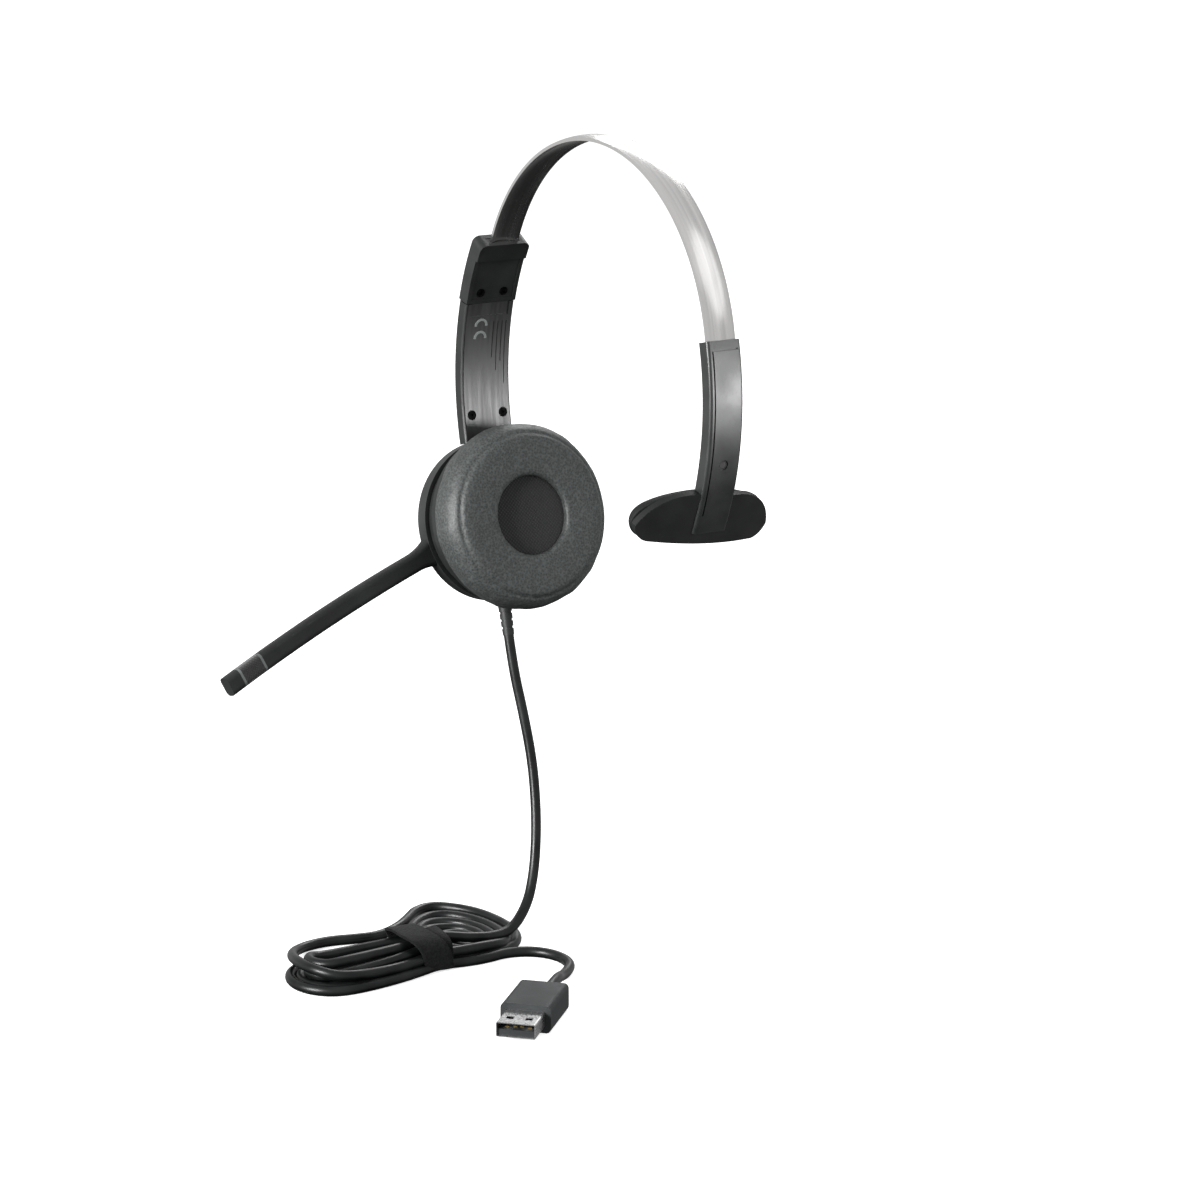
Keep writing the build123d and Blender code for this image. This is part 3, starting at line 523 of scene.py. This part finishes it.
# Each turn of the hank as (X, height) where it passes: at the tie on its back pass, the back and
# front of its left end, the tie on its front pass, and the front and back of its right end.
# left_tip and right_tip are (Y, height) of the ends themselves. LOW is the height of a strand that
# lies on the floor.
LOW = 1.5
TURNS = (
    dict(tie_back=(14.0, 7.7), left_back=(7.2, 5.4), left_tip=(-90.6, 7.2),
         left_front=(21.0, 7.9), tie_front=(17.4, 7.7), right_front=(15.0, LOW),
         right_tip=(-28.4, LOW), right_back=(0.4, LOW)),
    dict(tie_back=(15.4, 2.4), left_back=(8.2, LOW), left_tip=(-91.0, LOW),
         left_front=(23.0, 2.0), tie_front=(16.6, 4.9), right_front=(18.3, LOW),
         right_tip=(-24.8, LOW), right_back=(-7.0, LOW)),
    dict(tie_back=(13.2, 5.0), left_back=(9.6, 3.2), left_tip=(-92.0, 4.5),
         left_front=(23.6, 5.0), tie_front=(20.8, 7.0), right_front=(21.8, 1.7),
         right_tip=(-21.4, LOW), right_back=(-12.6, LOW)),
    dict(tie_back=(12.0, 2.2), left_back=(4.6, LOW), left_tip=(-94.0, LOW),
         left_front=(26.2, LOW), tie_front=(19.8, 2.2)),
    dict(left_front=(27.4, 4.0), tie_front=(24.0, 5.0), right_front=(24.2, 4.4),
         right_tip=(-18.0, 1.6), right_back=(-18.4, LOW)),
    dict(tie_back=(9.2, 2.2), left_back=(1.2, LOW), left_tip=(-97.0, LOW),
         left_front=(29.4, LOW), tie_front=(24.4, 1.7)),
)
# The turn that leaves the bundle, as (X, Y, height), at its right and then its left end.
LOOSE_RIGHT = (
    (21.6, -42.0, 1.8), (24.6, -34.0, LOW), (23.4, -25.4, LOW), (17.6, -18.0, LOW),
    (8.5, -14.2, LOW), (-2.0, -13.4, LOW), (-12.0, -14.6, LOW), (-20.0, -18.2, LOW),
    (-26.2, -23.6, LOW), (-25.2, -30.6, LOW), (-19.6, -36.6, LOW), (-13.8, -43.6, LOW))
LOOSE_LEFT = (
    (-9.6, -53.0, LOW), (-11.6, -61.0, LOW), (-14.4, -69.2, LOW), (-13.8, -77.6, LOW),
    (-8.2, -84.8, 2.6), (1.0, -90.0, 4.8), (10.6, -92.8, 6.4), (20.4, -92.4, 6.6),
    (27.0, -86.6, 5.2))
TIE_Y = -51.0
FOLD_R = 12.5              # the widest round end of a fold; wider ones are flattened


def between(a, b, share):
    return tuple(p + (q - p) * share for p, q in zip(a, b))


def fold(start, end, tip, side):
    """Six points round one end of the hank, from one pass to the other, 36 degrees apart.

    The spline cuts inside its points, so they lie a little outside the fold that it makes.
    """
    half, middle = (end[0] - start[0]) / 2, (end[0] + start[0]) / 2
    reach = min(abs(half), FOLD_R) / cos(radians(18))
    points = []
    for step in range(6):
        turn = radians(36 * step)
        wide = 1.0 if step in (0, 5) else 1 / cos(radians(12))
        level = start[1] + (end[1] - start[1]) * step / 5
        points.append((middle - half * cos(turn) * wide,
                       tip[0] + side * reach * (sin(turn) - 1),
                       level * (1 - sin(turn)) + tip[1] * sin(turn)))
    return points


def at(y, place):
    """The point of a pass at this Y, from its (X, height)."""
    return (place[0], y, place[1])


def hank_points():
    """The cord's folds, turn by turn, from the drop to the tail."""
    points = []
    for turn, after in zip(TURNS, TURNS[1:] + (None,)):
        tie_front = turn["tie_front"]
        if "left_tip" in turn:
            points.append(at(TIE_Y, turn["tie_back"]))
            points.append(at(TIE_Y - 12, between(turn["tie_back"], turn["left_back"], 0.65)))
            points += fold(turn["left_back"], turn["left_front"], turn["left_tip"], -1)
        else:
            points += LOOSE_LEFT
        points.append(at(TIE_Y - 19, between(tie_front, turn["left_front"], 0.85)))
        points.append(at(TIE_Y - 8, between(tie_front, turn["left_front"], 0.45)))
        points.append(at(TIE_Y, tie_front))
        if "right_tip" in turn:
            points.append(at(TIE_Y + 9, between(tie_front, turn["right_front"], 0.6)))
            points += fold(turn["right_front"], turn["right_back"], turn["right_tip"], 1)
            leaving = after.get("tie_back", LOOSE_LEFT[0][::2])
            points.append(at(TIE_Y + 9, between(leaving, turn["right_back"], 0.7)))
        elif after:
            points += LOOSE_RIGHT
    return [(x, y, LIE - LOW + height) for x, y, height in points]


def cord():
    """The cord from the grommet to the plug; returns it and the point where it leaves the cup."""
    route = [Vector(p) * MM for p in DROP + hank_points() + TAIL]
    data = bpy.data.curves.new("cord", "CURVE")
    data.dimensions = "3D"
    spline = data.splines.new("NURBS")
    spline.points.add(len(route) - 1)
    for point, place in zip(spline.points, route):
        point.co = (*place, 1)
    spline.order_u = 3
    spline.use_endpoint_u = True
    data.resolution_u = 8
    data.bevel_depth = CORD_R * MM
    data.bevel_resolution = 6
    data.use_fill_caps = True
    data.materials.append(MATERIALS["cord_jacket"])
    obj = bpy.data.objects.new("cord", data)
    bpy.context.scene.collection.objects.link(obj)
    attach(obj, "ear_cup")
    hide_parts("cord_drop", "cord_hank", "cord_tail")
    return obj, route[0]


# ---------------------------------------------------------------- tie
TIE_CENTRE = (16.8, -51.0, FLOOR)
TIE_TURN = radians(-8)
TIE_HALF_W, TIE_HALF_H, TIE_MIDDLE = 9.8, 4.9, 5.3
TIE_SQUARE = 3.2           # 2 is an ellipse, and more is squarer
TIE_WIDTH, TIE_WALL = 9.6, 0.85
TIE_START, TIE_SWEEP = radians(100), 500   # the sweep in degrees, more than one turn
LAP_LIFT = 1.0             # how far the second layer lies outside the first
TIE_SLIP, TIE_RISE = -6.2, 7.4   # the free end slides off the first turn, then slants back
TIE_TAPER = 0.12
TIE_RIPPLE = 0.12


def tie_section(turn, grow):
    """The strap's path round the bundle: a rounded rectangle, in (across, height on the floor)."""
    half_w, half_h = TIE_HALF_W + grow, TIE_HALF_H + grow
    c, s = cos(turn), sin(turn)
    x = half_w * abs(c) ** (2 / TIE_SQUARE) * (1 if c > 0 else -1)
    z = half_h * abs(s) ** (2 / TIE_SQUARE) * (1 if s > 0 else -1)
    return x, z + TIE_MIDDLE


def tie():
    """Hook-and-loop strap, more than a turn long, whose free end slants over the turn below."""
    stations, across = 110, 9
    points = []
    for i in range(stations):
        share = i / (stations - 1)
        swept = share * TIE_SWEEP
        lap = clamp((swept - 250) / 90)
        x, z = tie_section(TIE_START + radians(-TIE_SWEEP) * share, LAP_LIFT * lap)
        drift = clamp((swept - 190) / 160)
        slant = (TIE_SLIP * drift * drift * (3 - 2 * drift)
                 + TIE_RISE * max(0.0, (swept - 350) / 150))
        taper = 1.0 - TIE_TAPER * max(0.0, (share - 0.93) / 0.07)
        for j in range(across):
            along = (j / (across - 1) - 0.5) * TIE_WIDTH * taper
            ripple = TIE_RIPPLE * noise.noise(Vector((share * 30, along * 0.4, 2.0)))
            points.append((x * (1 + ripple * 0.02), along + slant, z + ripple))
    faces = rings_to_faces(stations, across, closed_count=False)
    place = Matrix.Translation(Vector(TIE_CENTRE) * MM) @ Matrix.Rotation(TIE_TURN, 4, "Z")
    points = [place @ (Vector(p) * MM) for p in points]
    strap = new_object("cord_tie_strap", points, faces, MATERIALS["tie_strap"], "ear_cup")
    wall = strap.modifiers.new("thickness", "SOLIDIFY")
    wall.thickness, wall.offset = TIE_WALL * MM, 0
    edge = strap.modifiers.new("edge", "BEVEL")
    edge.width, edge.segments, edge.limit_method = 0.2 * MM, 2, "ANGLE"
    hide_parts("cord_tie")
    return strap


# ---------------------------------------------------------------- stage
def floor():
    """White paper that glows a little and lights nothing itself."""
    bpy.ops.mesh.primitive_plane_add(size=60, location=(0, 0, FLOOR * MM))
    plane = bpy.context.object
    plane.name = "floor"
    m = Nodes("floor_paper", 0.9, specular=0.1)
    m.colour(m.noise(40, 4), grey(0.90), grey(0.94))
    m.bump((m.noise(900, 3), 0.05, 0.0001))
    m.out.inputs["Emission Color"].default_value = (1, 1, 1, 1)
    m.out.inputs["Emission Strength"].default_value = 0.62
    plane.data.materials.append(m.mat)
    plane.visible_glossy = plane.visible_diffuse = False


# Brightness by height, from straight down at 0 to straight up at 1.
SKY = ((0.0, 0.02), (0.175, 0.05), (0.35, 0.55), (0.44, 1.1), (0.5, 0.9), (0.725, 0.9),
       (0.75, 0.6), (0.775, 0.95), (1.0, 1.0))
SKY_STRENGTH = 0.55


def world():
    """Soft studio light from all round, brightest just below the horizon and dark underneath."""
    sky = bpy.data.worlds.new("studio")
    bpy.context.scene.world = sky
    sky.use_nodes = True
    tree = sky.node_tree
    background = tree.nodes["Background"]
    coords = tree.nodes.new("ShaderNodeTexCoord")
    split = tree.nodes.new("ShaderNodeSeparateXYZ")
    tree.links.new(coords.outputs["Generated"], split.inputs[0])
    height = tree.nodes.new("ShaderNodeMapRange")
    height.inputs["From Min"].default_value = -1.0
    tree.links.new(split.outputs["Z"], height.inputs["Value"])
    ramp = tree.nodes.new("ShaderNodeValToRGB")
    stops = ramp.color_ramp.elements
    for place, _ in SKY[1:-1]:
        stops.new(place)
    for stop, (place, value) in zip(stops, SKY):
        stop.position, stop.color = place, (value, value, value, 1)
    tree.links.new(height.outputs["Result"], ramp.inputs["Fac"])
    tree.links.new(ramp.outputs["Color"], background.inputs["Color"])
    background.inputs["Strength"].default_value = SKY_STRENGTH


def area_light(name, place, target, size, power, width=None, diffuse=True, glossy=True,
               only=None):
    """An elliptical lamp. If only names some nodes, it lights just those."""
    data = bpy.data.lights.new(name, "AREA")
    data.shape, data.size, data.size_y = "ELLIPSE", width or size, size
    data.energy = power
    obj = bpy.data.objects.new(name, data)
    bpy.context.scene.collection.objects.link(obj)
    obj.location = place
    obj.rotation_euler = (Vector(target) - Vector(place)).to_track_quat("-Z", "Y").to_euler()
    obj.visible_diffuse, obj.visible_glossy = diffuse, glossy
    if only:
        lit = bpy.data.collections.new(name + "_lights")
        for node in only.split():
            lit.objects.link(nodes[node])
        obj.light_linking.receiver_collection = lit


def lamps():
    """Three lamps for everything, and three that put a highlight on the pieces they name."""
    area_light("key", (0.15, -1.3, 0.3), (0.02, 0, -0.02), 0.6, 32)
    area_light("rim", (-0.9, 0.9, 0.9), (0.02, 0, 0.0), 0.8, 8)
    area_light("fill", (1.2, 0.7, 0.4), (0.02, 0, 0.0), 0.6, 11, glossy=False)
    area_light("low_right", (0.80, 0.50, -0.01), (0.03, 0, 0.03), 0.26, 5.7, width=0.5,
               diffuse=False, only="pad_arm_cover pad_arm_shell temple_plate")
    area_light("low_left", (0.80, 0.50, 0.07), (0.03, 0, 0.03), 0.2, 5.0, width=0.5,
               diffuse=False, only="arm_cover")
    area_light("panel", (0.95, 0.75, 0.9), (0.05, 0, 0.05), 1.1, 1.7,
               diffuse=False, only="band_strip")


# The photograph's camera, as fitted to the object.
CAMERA_PLACE = (0.91219, -0.57367, 0.23168)
CAMERA_AZIMUTH, CAMERA_ELEVATION = radians(56.743), radians(13.533)
LENS, SENSOR = 105.08, 36


def camera():
    azimuth, elevation = CAMERA_AZIMUTH, CAMERA_ELEVATION
    right = Vector((cos(azimuth), sin(azimuth), 0))
    ahead = Vector((-sin(azimuth) * cos(elevation), cos(azimuth) * cos(elevation),
                    -sin(elevation)))
    up = right.cross(ahead)
    data = bpy.data.cameras.new("camera")
    data.lens, data.sensor_width = LENS, SENSOR
    data.clip_start, data.clip_end = 0.01, 100
    obj = bpy.data.objects.new("camera", data)
    bpy.context.scene.collection.objects.link(obj)
    turn = Matrix((right, up, -ahead)).transposed().to_4x4()
    obj.matrix_world = Matrix.Translation(CAMERA_PLACE) @ turn
    bpy.context.scene.camera = obj


finish_nodes()
ear_cushion()
temple_pad()
cord_piece, cord_exit = cord()
strap = tie()
floor()
world()
lamps()
camera()
bpy.context.scene.view_settings.view_transform = "Standard"
